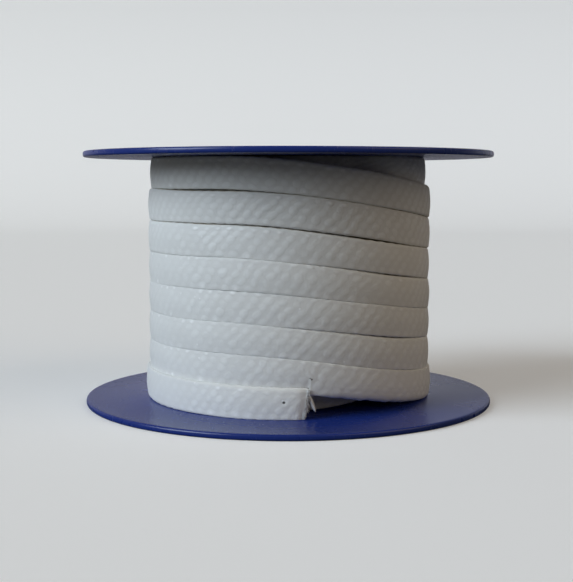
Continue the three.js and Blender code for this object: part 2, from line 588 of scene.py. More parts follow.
@dataclass(frozen=True)
class BraidFinish:
    """Waxy white yarn: soft low loops, faint filaments along them, smudges, and glossy specks and loop crests
    that are painted bright as highlights.

    A weight is how far a pattern changes the colour or the roughness where it is full.
    """

    braid: Braid
    marks: tuple[Mark, ...] = ()
    crown: Colour = (0.800, 0.805, 0.795)
    valley: Colour = (0.735, 0.735, 0.722)
    smudge: Colour = (0.705, 0.700, 0.680)
    bright: Colour = (0.93, 0.93, 0.93)
    seam_tint: Colour = (0.46, 0.40, 0.29)
    refraction: float = 1.38
    roughness: float = 0.60
    glow_weight: float = 0.35
    glow_depth: float = 0.7 * MM
    crown_range: Run = (-0.2, 0.8)
    blotch_stretch: Pair = (0.8, 3.0)
    blotches: tuple[tuple[Grain, float], ...] = ((Grain(0.6, 1.0), 0.9), (Grain(0.15, 1.0), 0.6))
    blotch_least: float = 0.15
    thread: Grain = Grain(1.0, 3.0, 0.6)
    thread_count: float = 11.0
    thread_slant: Pair = (3.0, 0.5)
    thread_range: Run = (0.45, 0.8)
    thread_weight: float = 0.16
    thread_depth: float = 0.03 * MM
    wax: Grain = Grain(420.0, 4.0, 0.6)
    wax_depth: float = 0.07 * MM
    cloud: Grain = Grain(48.0, 3.0, 0.55)
    cloud_range: Run = (0.40, 0.78)
    cloud_weight: float = 0.4
    highlight_speck_scale: float = 175.0
    highlight_speck_sizes: Run = (0.03, 0.10)
    highlight_speck_patch: Grain = Grain(37.0)
    highlight_speck_patch_range: Run = (0.56, 0.66)
    highlight_speck_depth: float = 0.06 * MM
    glint_upper: Run = (0.50, 0.85)
    glint_lower: Run = (0.72, 0.98)
    glint_share: Run = (0.5, 1.1)
    bright_weight: float = 0.8
    seam_tint_edge: Run = (0.530, 0.62)
    seam_tint_fade: Run = (225.0, 320.0)
    seam_tint_weight: float = 0.85
    height_gloss: float = 0.14
    wax_matt: float = 0.10
    highlight_speck_gloss: float = 0.25
    glint_gloss: float = 0.2

    def glint(self, u: Sock, w: Sock, share: Sock) -> Sock:
        """Painted highlight: how bright the crests of the loops along both edges of a face are painted.

        Args:
            u: Stitches along the rope.
            w: Sides round it.
            share: How far the loops stand up there.

        Returns:
            The brightness, from 0 to 1.
        """
        upper = self.braid.row(len(self.braid.rows) - 1, u, w).step(*self.glint_upper)
        lower = self.braid.row(0, u, w).step(*self.glint_lower)
        return upper.larger(lower) * share.step(*self.glint_share)

    def build(self, name: str) -> bpy.types.Material:
        """Makes the material.

        Args:
            name: The material's name.

        Returns:
            The material, which reads the rope's UV map "run".
        """
        shader = Shader(
            name, IOR=self.refraction, Subsurface_Weight=self.glow_weight,
            Subsurface_Radius=(1.0, 1.0, 1.0), Subsurface_Scale=self.glow_depth,
        )
        place = shader.place()
        run = shader.node("ShaderNodeUVMap", {"uv_map": "run"}, {}, "UV")
        u, w = shader.axis(run, "X"), shader.axis(run, "Y")
        blotch = shader.vector(u * self.blotch_stretch[0], w * self.blotch_stretch[1])
        large, small = (shader.noise(blotch, grain) * weight for grain, weight in self.blotches)
        share = large + small + self.blotch_least
        height = self.braid.height(u, w)
        worn = self.braid.worn(shader.axis(place, "X"))
        lifted = height * share.larger(self.blotch_least) * self.braid.gain(u) * worn
        across, along = self.thread_slant
        lean = self.braid.rows[1].lean
        yarn = shader.vector((u - w * lean) * self.thread_count, w * across + u * along)
        threads = shader.noise(yarn, self.thread)
        wax = shader.noise(place, self.wax)
        cloud = shader.noise(place, self.cloud).step(*self.cloud_range)
        # Small raised glossy specks, also painted near white as highlights.
        highlight_specks = shader.specks(place, self.highlight_speck_scale, self.highlight_speck_sizes)
        highlight_specks = highlight_specks * shader.noise(place, self.highlight_speck_patch).step(*self.highlight_speck_patch_range)
        glint = self.glint(u, w, share)
        # Browner and darker on the rounded corners beside the joints, over the inner layer and the upper
        # turns of the outer layer, fading out further down.
        seam_tinted = w.size().step(*self.seam_tint_edge) * (1.0 - u.step(*self.seam_tint_fade)) * self.seam_tint_weight

        tone = shader.mix(lifted.step(*self.crown_range), self.valley, self.crown)
        tone = shader.mix(cloud * self.cloud_weight, tone, self.smudge)
        tone = shader.mix(threads.step(*self.thread_range) * self.thread_weight, tone, self.valley)
        # Painted highlights: the specks and the loops' crests are painted near white, as glints of light.
        tone = shader.mix(highlight_specks.larger(glint) * self.bright_weight, tone, self.bright)
        tone = shader.mix(seam_tinted, tone, self.seam_tint)
        for mark in self.marks:
            tone = mark.lay_on(tone, shader, place)
        shader.feed("Base Color", tone)
        rough = self.roughness - height * self.height_gloss + wax * self.wax_matt
        shader.feed("Roughness", rough - highlight_specks * self.highlight_speck_gloss - glint * self.glint_gloss)
        shader.bump(
            (lifted, self.braid.depth), (threads, self.thread_depth), (wax, self.wax_depth),
            (highlight_specks, self.highlight_speck_depth),
        )
        return shader.material


@dataclass(frozen=True)
class SeamGap:
    """A stretch of the joint below one turn of the outer layer where the turns stand apart."""

    turn: int
    middle: float
    reach: float
    width: float


@dataclass
class Winding:
    """The rope's route: how it climbs on the core, crosses over and comes down, turn on turn.

    Runs are pairs of angles: from the front of the turn, or from the cut end where the field's
    comment says so. Those of the sag are in turns below the top, and those of the middle laps
    count through all the turns. Corner values are shares of the rope's full corner radius.
    """

    turns: int = 8
    turn_gap: float = 0.25 * MM
    layer_gap: float = 0.4 * MM
    core_clearance: float = 0.5 * MM
    offset: float = 0.25 * MM
    wander: float = 0.16 * MM

    fall_run: Run = (-27.0, 93.0)
    fall_drift: float = 0.1
    rise_run: Run = (-10.0, 135.0)
    inner_lap: float = 10.0
    middle_sag: float = 1.05 * MM
    sag_top: float = 0.6
    sag_turns: float = 6.0
    sag_fade: Run = (7.0, 8.0)

    cross_start: float = 30.0
    cross_end: float = 54.0
    cross_edge: float = 3.0
    cross_lead: float = 32.0
    cross_spread: float = 3.0 * MM
    entry_relief: float = 1.8 * MM

    joint: float = 0.04 * MM
    pressed_joint: float = -0.10 * MM
    first_pressed: int = 3
    firm_joints: tuple[int, ...] = (4, 6)
    firm_share: float = 0.35
    opening_run: Run = (-20.0, 50.0)
    end_joint: float = -0.10 * MM
    end_joint_reach: float = 45.0
    gaps: tuple[SeamGap, ...] = (
        SeamGap(1, -33.0, 44.0, 0.62 * MM),
        SeamGap(2, -8.0, 80.0, 0.36 * MM),
        SeamGap(2, 36.0, 34.0, 0.40 * MM),
        SeamGap(3, 42.0, 34.0, 0.32 * MM),
        SeamGap(5, 42.0, 28.0, 0.40 * MM),
        SeamGap(6, 54.0, 15.0, 0.26 * MM),
    )

    full_corner: float = 0.85
    tight_lower: float = 0.12
    open_lower: float = 0.55
    tight_upper: float = 0.44
    open_upper: float = 0.41
    firm_upper: float = 0.14
    last_corner: float = 2.2
    last_corner_fall: float = 1.7
    last_corner_run: Run = (-80.0, -15.0)
    loose_round: float = 2.6
    loose_round_rise: float = 22.0
    loose_round_fall: Run = (60.0, 110.0)
    end_round: float = 1.15
    end_round_reach: float = 60.0

    cut_end: float = 6.2
    cut_slant: float = 1.05
    cut_run: float = 5.0
    cut_round: float = 0.60 * MM
    cut_round_run: Run = (-4.5, 0.0)  # from the cut end
    cut_press: float = 0.80 * MM
    cut_press_run: Run = (-55.0, -5.0)  # from the cut end
    end_relief: float = 0.9
    end_lift: float = 0.80

    loose_drop: float = 1.7 * MM
    loose_drop_runs: tuple[Run, Run] = ((-12.0, 25.0), (60.0, 130.0))
    loose_top: float = 1.0 * MM
    loose_top_runs: tuple[Run, Run] = ((5.0, 45.0), (110.0, 200.0))

    last_bulge: float = 1.0 * MM
    last_bulge_run: Run = (-330.0, -270.0)  # from the cut end
    end_bulge: float = 0.4 * MM
    end_bulge_run: Run = (-50.0, -15.0)  # from the cut end
    last_seat: float = 0.2 * MM
    last_seat_run: Run = (-200.0, -90.0)  # from the cut end
    first_tuck: float = 0.9 * MM
    first_tuck_reach: float = 75.0
    first_tuck_middle: float = 0.75 * FULL_TURN
    left_tuck: float = 0.25 * MM
    left_bulge: float = 0.35 * MM
    middle_laps_run: Run = (FULL_TURN, 1.5 * FULL_TURN)
    last_lap_run: Run = (-370.0, -190.0)  # from the cut end

    def __post_init__(self) -> None:
        """Reads the sizes that the frame gives."""
        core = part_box("core_tube")
        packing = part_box("packing")
        self.floor = packing[0][2]
        self.pitch = (packing[1][2] - packing[0][2] + self.turn_gap) / self.turns
        self.side = self.pitch - self.turn_gap
        self.inner_radius = core[1][0] + self.core_clearance
        self.layer_pitch = self.side + self.layer_gap
        self.top_level = self.turns - 1
        self.start = -FULL_TURN * self.turns + self.rise_run[1] + self.inner_lap
        self.end = FULL_TURN * self.turns + self.cut_end

    def face_radius(self, layer: Layer) -> float:
        """Radius of a layer's outer face."""
        return self.inner_radius + self.side + (self.layer_pitch if layer is Layer.OUTER else 0.0)

    def turn_of(self, angle: np.ndarray) -> tuple[np.ndarray, np.ndarray]:
        """Number of each angle's turn, and the angle from the front on that turn, -90 to 270."""
        turn = np.floor((angle + 90.0) / FULL_TURN)
        return turn, angle - FULL_TURN * turn

    def rise(self, local: np.ndarray) -> np.ndarray:
        """Share of a level that an inner turn has climbed: a smooth step right of the front."""
        return ease(local, *self.rise_run)

    def fall(self, local: np.ndarray) -> np.ndarray:
        """Share of a level that an outer turn has come down: an even drift and a smooth step."""
        drift = self.fall_drift * (local + 90.0) / FULL_TURN
        return drift + (1.0 - self.fall_drift) * ease(local, *self.fall_run)

    def near_end(self, angle: np.ndarray, run: Run) -> np.ndarray:
        """Smooth step over a run that is counted from the cut end."""
        return ease(angle - self.end, *run)

    def level(self, angle: np.ndarray) -> np.ndarray:
        """Level of the rope.

        Args:
            angle: Angles along the rope.

        Returns:
            Its level in turns above the lower flange.
        """
        turn, local = self.turn_of(angle)
        climbing = np.clip(self.top_level + turn + self.rise(local), 0.0, self.top_level)
        falling = np.clip(self.top_level + 1.0 - turn - self.fall(local), 0.0, self.top_level)
        return np.where(turn < 0, climbing, np.where(turn > 0, falling, float(self.top_level)))

    def height_of(self, level: np.ndarray, outer: np.ndarray) -> np.ndarray:
        """Height of a level: even pitches, with the outer layer's middle turns a little lower.

        The sag is a sine of the depth below the top, faded out at the top and at the last turn.

        Args:
            level: Levels in turns above the lower flange.
            outer: True where the rope is in the outer layer.

        Returns:
            The heights.
        """
        depth = self.turns - level
        wave = np.sin(np.pi * np.clip(depth - self.sag_top, 0.0, None) / self.sag_turns)
        sag = self.middle_sag * wave * (1.0 - ease(depth, *self.sag_fade))
        return self.floor + level * self.pitch - np.where(outer, sag, 0.0)

    def openness(self, joint: np.ndarray, local: np.ndarray) -> np.ndarray:
        """How open a joint is: pressed shut at the left, opening to the right, a firm one less."""
        firm = np.isin(joint, self.firm_joints)
        return ease(local, *self.opening_run) * np.where(firm, self.firm_share, 1.0)

    def joint_width(self, angle: np.ndarray) -> np.ndarray:
        """Width of the joint above the rope in the outer layer. A joint has its upper turn's number.

        Args:
            angle: Angles along the rope.

        Returns:
            The width, below 0 where the turns are pressed into each other.
        """
        turn, local = self.turn_of(angle)
        joint = turn - 1
        opened = self.pressed_joint + (self.joint - self.pressed_joint) * self.openness(joint, local)
        width = np.where(joint >= self.first_pressed, opened, self.joint)
        for gap in self.gaps:
            width = width + gap.width * hump(local, gap.middle, gap.reach) * (joint == gap.turn)
        return width + self.end_joint * hump(angle, self.end, self.end_joint_reach)

    def corner_shares(self, angle: np.ndarray) -> tuple[np.ndarray, np.ndarray]:
        """Shares of the full corner radius: tight at the left of the joints that are pressed.

        The last turn is well rounded at the left where it lies on the flange, and so is the
        loose turn beside the cut end.

        Args:
            angle: Angles along the rope.

        Returns:
            The share at the lower corners and the share at the upper ones.
        """
        turn, local = self.turn_of(angle)
        joint = turn - 1
        pressed = self.tight_lower + self.open_lower * self.openness(turn, local)
        lower = np.where(turn >= self.first_pressed, pressed, self.full_corner)
        firm = self.firm_upper * np.isin(joint, self.firm_joints)
        pressed = self.tight_upper - firm + self.open_upper * self.openness(joint, local)
        upper = np.where(joint >= self.first_pressed, pressed, self.full_corner)
        last = self.last_corner - self.last_corner_fall * ease(local, *self.last_corner_run)
        lower = np.where(turn == self.turns, last, lower)
        loose = spell(local, (self.cut_end, self.loose_round_rise), self.loose_round_fall)
        lower = lower + self.loose_round * loose * (turn == self.turns - 1)
        return lower, upper + (self.end_round - upper) * hump(angle, self.end, self.end_round_reach)

    def radii(self, angle: np.ndarray) -> tuple[np.ndarray, np.ndarray]:
        """Inner and outer radius of the rope.

        Both move out by a layer where it crosses over, and it spreads there, as it is flattened.
        The last turn bulges, and its outer edge is rounded off at the cut. At the reel's left
        the middle turns lie a little further in, and the first turn does so all by itself.

        Args:
            angle: Angles along the rope.

        Returns:
            The inner radius and the outer one.
        """
        start, end, lead = self.cross_start, self.cross_end, self.cross_lead
        centre = (start + end) / 2
        shift = self.inner_radius + self.layer_pitch * ease(angle, start, end)
        spread = self.cross_spread / 2 * spell(angle, (start, centre), (centre, end))
        entry = self.entry_relief * spell(angle, (end - lead, end), (end + lead, end + 3 * lead))
        bulge = self.last_bulge * self.near_end(angle, self.last_bulge_run)
        bulge = bulge + self.end_bulge * self.near_end(angle, self.end_bulge_run)
        rounded = self.cut_round * self.near_end(angle, self.cut_round_run) ** 2
        left = np.clip(-np.sin(np.radians(angle)), 0.0, 1.0) ** 2
        last_lap = self.near_end(angle, self.last_lap_run)
        middle_laps = ease(angle, *self.middle_laps_run) - last_lap
        tuck = left * (self.left_tuck * middle_laps - self.left_bulge * last_lap)
        tuck = tuck + self.first_tuck * hump(angle, self.first_tuck_middle, self.first_tuck_reach)
        return shift - spread, shift + self.side + spread - entry + bulge - rounded - tuck

    def section(self, angle: np.ndarray) -> tuple[np.ndarray, ...]:
        """The rope's section at each angle.

        The rope is as high as the space between its neighbours. Where it crosses over it is
        flattened to what the falling turn outside and the rising turn inside leave it, and
        beside its own cut end the turn above is squeezed up.

        Args:
            angle: Angles along the rope.

        Returns:
            Inner radius, outer radius, lower height inside, lower height outside, upper height.
        """
        turn, local = self.turn_of(angle)
        outer = angle > self.cross_end
        enter = self.cross_start + self.cross_edge
        leave = self.cross_end - self.cross_edge
        level = self.level(angle)
        bottom = self.height_of(level, outer)
        top = self.height_of(level + 1.0, outer) - self.joint_width(angle)

        least = self.pitch * min(self.fall(np.array(enter)), 1.0 - self.rise(np.array(leave))) - self.turn_gap
        below = self.height_of(self.level(angle + FULL_TURN) + 1.0, angle > enter) - self.joint
        resting = np.maximum(bottom, below)
        squeeze = spell(angle, (enter - self.cross_lead, enter), (leave, leave + self.cross_lead))
        bottom = bottom + (self.side - least) * squeeze
        bottom = np.where((turn == 0) & outer, np.maximum(bottom, below), bottom)

        loose = turn == self.turns - 1
        slack = self.loose_top * spell(local, *self.loose_top_runs)
        top = np.where(loose, top - slack, top)
        bottom = np.where(turn == self.turns - 2, bottom - slack, bottom)
        hanging = bottom - self.loose_drop * spell(local, *self.loose_drop_runs)
        bottom = np.where(loose, np.maximum(hanging, self.floor - self.turn_gap / 2), bottom)

        relieved = self.cut_end + self.end_relief
        rest = 1.0 - ease(local, relieved, relieved + self.end_lift)
        pressed = self.cut_press * ease(local - self.cut_end, *self.cut_press_run)
        top = top - np.where(turn == self.turns, pressed, 0.0)
        lift = np.clip(self.height_of(np.ones_like(level), outer) - pressed - bottom, 0.0, None) * rest
        bottom = np.where(loose, bottom + lift, bottom)
        bottom = bottom - self.last_seat * self.near_end(angle, self.last_seat_run)
        outer_bottom = np.where((turn == 0) & (angle > enter), resting, bottom)
        return *self.radii(angle), bottom, outer_bottom, top


@dataclass(frozen=True)
class Wave:
    """A sine wave over the braid: its height, its pace along the rope and round it, its start."""

    height: float
    along: float
    across: float = 0.0
    start: float = 0.0

    def at(self, stitches: np.ndarray, sides: np.ndarray | float = 0.0) -> np.ndarray:
        """The wave's height: height * sin(along * stitches + across * sides + start)."""
        return self.height * np.sin(self.along * stitches + self.across * sides + self.start)


@dataclass
class PackingRope:
    """One layer of the packing, as a braided rope of rounded square section on the winding's route.

    Waves are read on stitches along the rope and sides round it; those of the ragged cut on the
    place up the section and across it.
    """

    winding: Winding
    braid: Braid
    layer: Layer
    pin_hole: Point
    split: float = -60.0
    spacing: float = 0.97 * MM
    finer: float = 3.0
    fine_reach: float = 4.0
    samples: int = 20000
    face_points: int = 14
    corner_points: int = 4
    hidden_points: int = 3
    upper_corner: float = 1.35 * MM
    lower_corner: float = 0.75 * MM
    corner_limit: float = 0.9
    crowning: float = 0.42 * MM
    relief_middle: float = 0.6
    hidden_relief: float = 0.2
    patch_least: float = 0.75
    patches: tuple[Wave, Wave] = (Wave(0.35, 0.11), Wave(1.0, 0.037, start=1.0))
    shifts: tuple[Wave, Wave] = (Wave(0.10, 0.37, 2.1), Wave(0.08, 0.83, -5.0))
    creeps: tuple[Wave, Wave] = (Wave(0.10, 0.071), Wave(1.0, 1.7, 9.0))
    sways: tuple[Wave, Wave] = (Wave(0.012, 0.9), Wave(0.012, 1.43, start=1.0))
    wanders: tuple[Wave, Wave, Wave] = (Wave(1.0, 0.19, start=0.7), Wave(1.0, 0.043), Wave(0.5, 0.31))
    lumps: float = 0.24 * MM
    lump_wave: Wave = Wave(0.5, 0.73)
    loose_lumps: float = 0.32 * MM
    loose_waves: tuple[Wave, Wave] = (Wave(1.0, 3.9), Wave(1.0, 1.3, start=0.6))
    loose_middle: float = 28.0
    loose_reach: float = 32.0
    ragged: tuple[Wave, Wave] = (Wave(0.22, 17.0), Wave(0.15, 41.0, 9.0))
    cap_rings: int = 12
    cap_run: float = 600.0
    cap_bump: float = 0.35 * MM
    yarn_end: float = 2.3 * MM
    pin_reach: float = 1.6 * MM
    pin_depth: float = 0.5 * MM
    pin_sharpness: float = 1.6
    lip_share: float = 0.3
    lip_sharpness: float = 3.0
    pin_limit: float = 3.0

    def angles(self) -> np.ndarray:
        """Angles of this layer's stations: evenly spaced, but closer beside the cut end.

        Returns:
            The angles along the rope.
        """
        winding = self.winding
        inner = self.layer is Layer.INNER
        first, last = (winding.start, self.split) if inner else (self.split, winding.end)
        radius = winding.face_radius(self.layer) - winding.side / 2
        steps = np.linspace(first, last, self.samples)
        weight = np.ones_like(steps)
        for fine in (winding.end - FULL_TURN, winding.end):
            weight = weight + self.finer * np.exp(-(((steps - fine) / self.fine_reach) ** 2))
        run = np.concatenate([[0.0], np.cumsum((weight[1:] + weight[:-1]) / 2 * np.diff(steps))])
        count = int(math.radians(run[-1]) * radius / self.spacing)
        return np.interp(np.linspace(0.0, run[-1], count), run, steps)

    def outline(self) -> tuple[np.ndarray, np.ndarray]:
        """The rounded square, walked from the inner face's middle over the bottom, outer face and top.

        Returns:
            For each point, its place on the inner rectangle as two values from -1 to 1 (across
            and up), and the outward direction of the rounding there.
        """
        inner = np.linspace(0.0, -1.0, self.hidden_points)[:-1]
        side = np.linspace(-1.0, 1.0, self.hidden_points + 1)[1:-1]
        outer = np.linspace(-1.0, 1.0, self.face_points)[1:-1]
        turn = np.linspace(0.0, 0.5 * np.pi, self.corner_points)
        cos, sin = np.cos(turn), np.sin(turn)
        walk = (
            (-1.0, inner, -1.0, 0.0),
            (-1.0, -1.0, -cos, -sin),
            (side, -1.0, 0.0, -1.0),
            (1.0, -1.0, sin, -cos),
            (1.0, outer, 1.0, 0.0),
            (1.0, 1.0, cos, sin),
            (-side, 1.0, 0.0, 1.0),
            (-1.0, 1.0, -sin, cos),
            (-1.0, -inner[:0:-1], -1.0, 0.0),
        )
        rows = np.concatenate([np.stack(np.broadcast_arrays(*part)) for part in walk], axis=1)
        return rows[:2], rows[2:]

    def around(self, place: np.ndarray, outward: np.ndarray) -> np.ndarray:
        """Sides counted round the section, with 0 at the middle of the outer face.

        Args:
            place: Each point's place on the inner rectangle.
            outward: Its outward direction.

        Returns:
            The count at each point, from -2 to 2.
        """
        half = self.winding.side / 2 - self.upper_corner
        flat = place * half + outward * self.upper_corner
        angle = np.arctan2(flat[1], flat[0])
        face = np.round(angle / (np.pi / 2))
        return face + np.tan(angle - face * np.pi / 2) / 2

    def uneven(self, stitches: np.ndarray, sides: np.ndarray) -> tuple[np.ndarray, np.ndarray]:
        """Moves the braid's pattern to and fro by slow waves, as a hand-wound rope's lies.

        Args:
            stitches: Even stitches along the rope.
            sides: Sides counted round the section.

        Returns:
            The moved stitches and sides.
        """
        stitches = stitches + self.shifts[0].at(stitches, sides) + self.shifts[1].at(stitches, sides)
        stitches = stitches + self.creeps[0].at(stitches) * self.creeps[1].at(stitches, sides)
        return stitches, sides + self.sways[0].at(stitches) + self.sways[1].at(stitches)

    def skin(
        self, angle: np.ndarray, place: np.ndarray, outward: np.ndarray, stitches: np.ndarray,
        sides: np.ndarray,
    ) -> np.ndarray:
        """Points of the swept surface.

        Across the section, a point is the centre plus its place on the inner rectangle plus the
        corner radius along its outward direction. The outer face is crowned by a cosine, and
        the braid's height is added along the outward direction. The upper and lower faces swell
        in lumps, half of 1 plus the cosine of the stitch, which a slow wave makes uneven.

        Args:
            angle: The stations' angles, as a column.
            place: Each point's place on the inner rectangle.
            outward: Its outward direction.
            stitches: Stitches at each point.
            sides: Sides at each point.

        Returns:
            Points by station and place on the outline.
        """
        winding, braid = self.winding, self.braid
        inside, outside, bottom, outer_bottom, top = winding.section(angle)
        x, z = place
        bottom = bottom + (outer_bottom - bottom) * (x + 1.0) / 2
        across, up = (outside - inside) / 2, (top - bottom) / 2
        lower_share, upper_share = winding.corner_shares(angle)
        high = (z + 1.0) / 2
        corner = self.lower_corner * lower_share * (1.0 - high) + self.upper_corner * upper_share * high
        corner = np.minimum(corner, self.corner_limit * np.minimum(across, up))

        facing = np.clip(outward[0], 0.0, 1.0)
        patchy = self.patch_least + self.patches[0].at(stitches) * self.patches[1].at(stitches)
        raised = (braid.height(stitches, sides) - self.relief_middle) * braid.depth
        raised = raised * (self.hidden_relief + (1.0 - self.hidden_relief) * facing) * patchy
        raised = raised * braid.gain(stitches)
        raised = raised * braid.worn(winding.face_radius(self.layer) * np.sin(np.radians(angle)))
        first, second, third = self.wanders
        wander = first.at(stitches) * second.at(stitches) + third.at(stitches)
        swell = (self.crowning * np.cos(z * np.pi / 2) + winding.wander * wander) * facing
        radial = (inside + outside) / 2 + x * (across - corner) + outward[0] * (corner + raised) + swell

        lumps = self.lumps * (0.5 + 0.5 * np.cos(2 * np.pi * stitches)) * (0.5 + self.lump_wave.at(stitches))
        loose = hump(angle, winding.end - FULL_TURN + self.loose_middle, self.loose_reach) * (z < 0.0)
        rough = self.loose_waves[0].at(stitches) * self.loose_waves[1].at(stitches)
        lumps = lumps + loose * self.loose_lumps * rough
        height = (bottom + top) / 2 + z * (up - corner) + outward[1] * (corner + raised + lumps)
        ragged = self.ragged[0].at(z) + self.ragged[1].at(z, x)
        slant = winding.near_end(angle, (-winding.cut_run, 0.0)) * winding.cut_slant * (z + ragged)
        return spot(radial, angle + slant, height) + np.array([winding.offset, 0.0, 0.0])

    def dimple(self, points: np.ndarray) -> np.ndarray:
        """Presses a small dimple with a raised lip into the outer face at the pin hole.

        Args:
            points: Points of the surface.

        Returns:
            The same points, those beside the hole moved towards the axis or away from it.
        """
        distance = np.linalg.norm(points - np.array(self.pin_hole), axis=-1, keepdims=True)
        share = distance / self.pin_reach
        hole = np.exp(-((share * self.pin_sharpness) ** 2))
        lip = np.exp(-(((share - 1.0) * self.lip_sharpness) ** 2))
        shape = self.pin_depth * (self.lip_share * lip - hole) * (share < self.pin_limit)
        return points + unit(points * LEVEL) * shape

    def cap(self, rim: np.ndarray, rim_start: int, start: int, flip: bool) -> tuple[np.ndarray, ...]:
        """Closes an end with rings of points that shrink to the middle, bumped by the yarns' ends.

        Args:
            rim: The end station's points.
            rim_start: Number of its first vertex.
            start: Number of the first vertex that the cap may use.
            flip: True at the end of the rope, where the cap faces along it.

        Returns:
            The cap's points, quads and the fan of triangles at the middle.
        """
        rows = len(rim)
        middle = rim.mean(axis=0)
        share = np.linspace(1.0, 0.0, self.cap_rings + 2)[1:-1, None, None]
        rings = middle + (rim - middle) * share
        along = unit(np.cross(UP, middle * LEVEL)) * (1.0 if flip else -1.0)
        across = np.hypot(rings[..., 0], rings[..., 1])
        bumps = np.cos(2 * np.pi * across / self.yarn_end) * np.cos(2 * np.pi * rings[..., 2] / self.yarn_end)
        rings = rings + along * (self.cap_bump * bumps * np.sin(np.pi * share[..., 0]))[..., None]
        points = np.concatenate([rings.reshape(-1, 3), middle[None, :]])
        own = start + np.arange(self.cap_rings * rows).reshape(self.cap_rings, rows)
        ids = np.concatenate([rim_start + np.arange(rows)[None, :], own])
        after = np.roll(ids, -1, axis=1)
        quads = np.stack([ids[:-1], after[:-1], after[1:], ids[1:]], axis=-1).reshape(-1, 4)
        fan = np.stack([ids[-1], after[-1], np.full(rows, start + own.size)], axis=-1)
        order = -1 if flip else 1
        return points, quads[:, ::order], fan[:, ::order]

    def lay_run(self, piece: bpy.types.Object, stitches: np.ndarray, sides: np.ndarray) -> None:
        """Gives the mesh its UV map: stitches along the rope, sides round it.

        A face that spans the seam of the count, at the middle of the inner face, has the lower
        ones of its values raised by a full round.

        Args:
            piece: The rope's object.
            stitches: Stitches at each vertex of the swept grid.
            sides: Sides counted round the section at each vertex of the swept grid.
        """
        mesh = piece.data
        points = np.empty(len(mesh.vertices) * 3, dtype=np.float32)
        mesh.vertices.foreach_get("co", points)
        ends = points.reshape(-1, 3)[stitches.size:]
        along = self.cap_run + np.hypot(ends[:, 0], ends[:, 1]) / self.yarn_end
        run = np.stack([
            np.append(stitches.ravel(), along),
            np.append(sides.ravel(), ends[:, 2] / self.yarn_end),
        ], axis=1)
        corners = np.empty(len(mesh.loops), dtype=np.int32)
        mesh.loops.foreach_get("vertex_index", corners)
        starts = np.empty(len(mesh.polygons), dtype=np.int32)
        mesh.polygons.foreach_get("loop_start", starts)
        values = run[corners]
        face = np.repeat(np.arange(len(starts)), np.diff(np.append(starts, len(corners))))
        low = np.minimum.reduceat(values[:, 1], starts)[face]
        high = np.maximum.reduceat(values[:, 1], starts)[face]
        wraps = (high - low > SIDES_ROUND / 2) & (values[:, 1] < (high + low) / 2)
        values[:, 1] += wraps * SIDES_ROUND
        layer = mesh.uv_layers.new(name="run")
        layer.data.foreach_set("uv", values.astype(np.float32).ravel())

    def build(self) -> bpy.types.Object:
        """Builds the layer's mesh, closed at both ends.

        Returns:
            The new piece.
        """
        angle = self.angles()[:, None]
        place, outward = self.outline()
        even = np.radians(angle) * self.winding.face_radius(self.layer) / self.braid.stitch
        stitches, sides = self.uneven(even, self.around(place, outward))
        points = self.dimple(self.skin(angle, place, outward, stitches, sides))
        columns, rows = points.shape[:2]
        vertices, faces, fans = [points.reshape(-1, 3)], [closed_grid(columns, rows)], []
        for station, flip in ((0, False), (columns - 1, True)):
            used = sum(map(len, vertices))
            cap_points, cap_quads, cap_fan = self.cap(points[station], station * rows, used, flip)
            vertices.append(cap_points)
            faces.append(cap_quads)
            fans.append(cap_fan)
        piece = make_piece(self.layer.value, *map(np.concatenate, (vertices, faces, fans)))
        self.lay_run(piece, stitches, sides)
        return piece


@dataclass(frozen=True)
class Tuft:
    """A pointed tuft: place of its root and tip, across and up, its sag and half width, all in mm."""

    across: float
    high: float
    tip_across: float
    tip_high: float
    sag: float
    half_width: float


